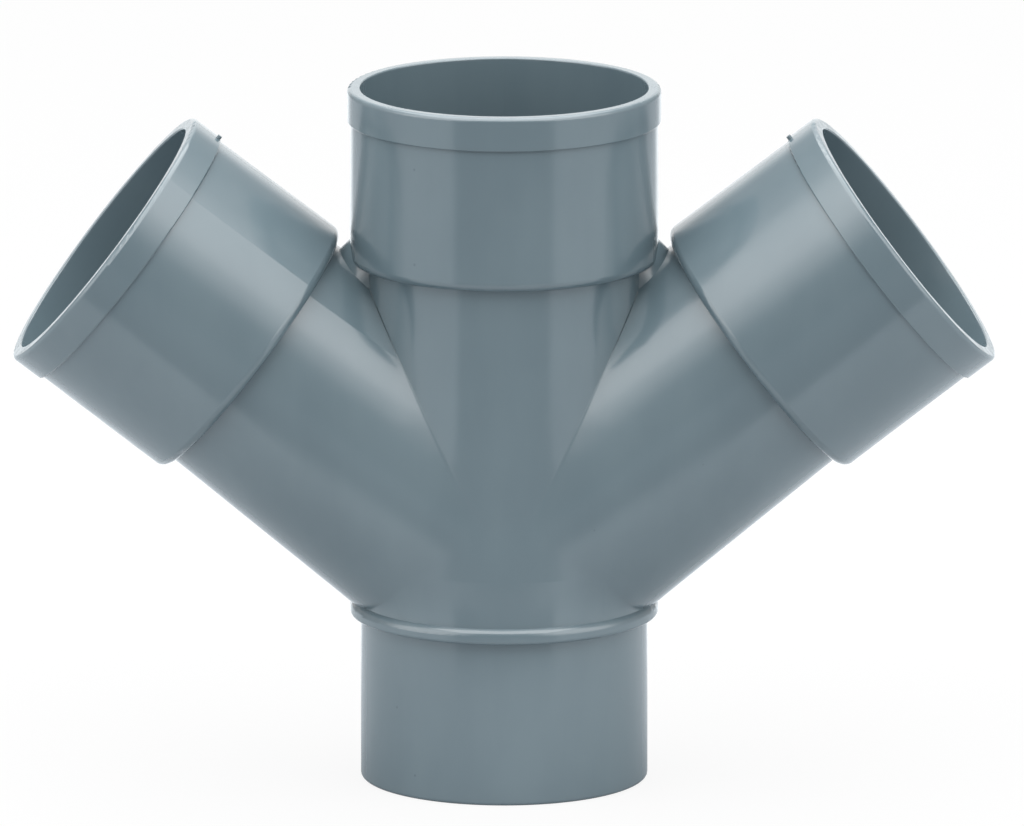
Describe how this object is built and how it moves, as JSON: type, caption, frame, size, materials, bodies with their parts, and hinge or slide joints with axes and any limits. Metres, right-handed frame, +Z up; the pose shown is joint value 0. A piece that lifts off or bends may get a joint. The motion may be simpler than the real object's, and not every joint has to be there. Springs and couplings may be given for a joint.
{
  "type": "double wye",
  "caption": "Moulded drain pipe fitting with a spigot, a straight run to a ringed socket, and angled socketed branches leaving it on opposite sides.",
  "frame": {"origin": "centre of the spigot's end, on the axis of the run", "axes": "+Z up the run towards its socket, +X towards the right branch, +Y away from the viewer; the branches lie in the XZ plane"},
  "size_m": [0.3416, 0.1092, 0.245],
  "materials": {
    "grey_plastic": "injection-moulded rigid PVC, blue grey, satin gloss"
  },
  "bodies": {
    "root": {"wye_body": "grey_plastic"}
  },
  "joints": []
}
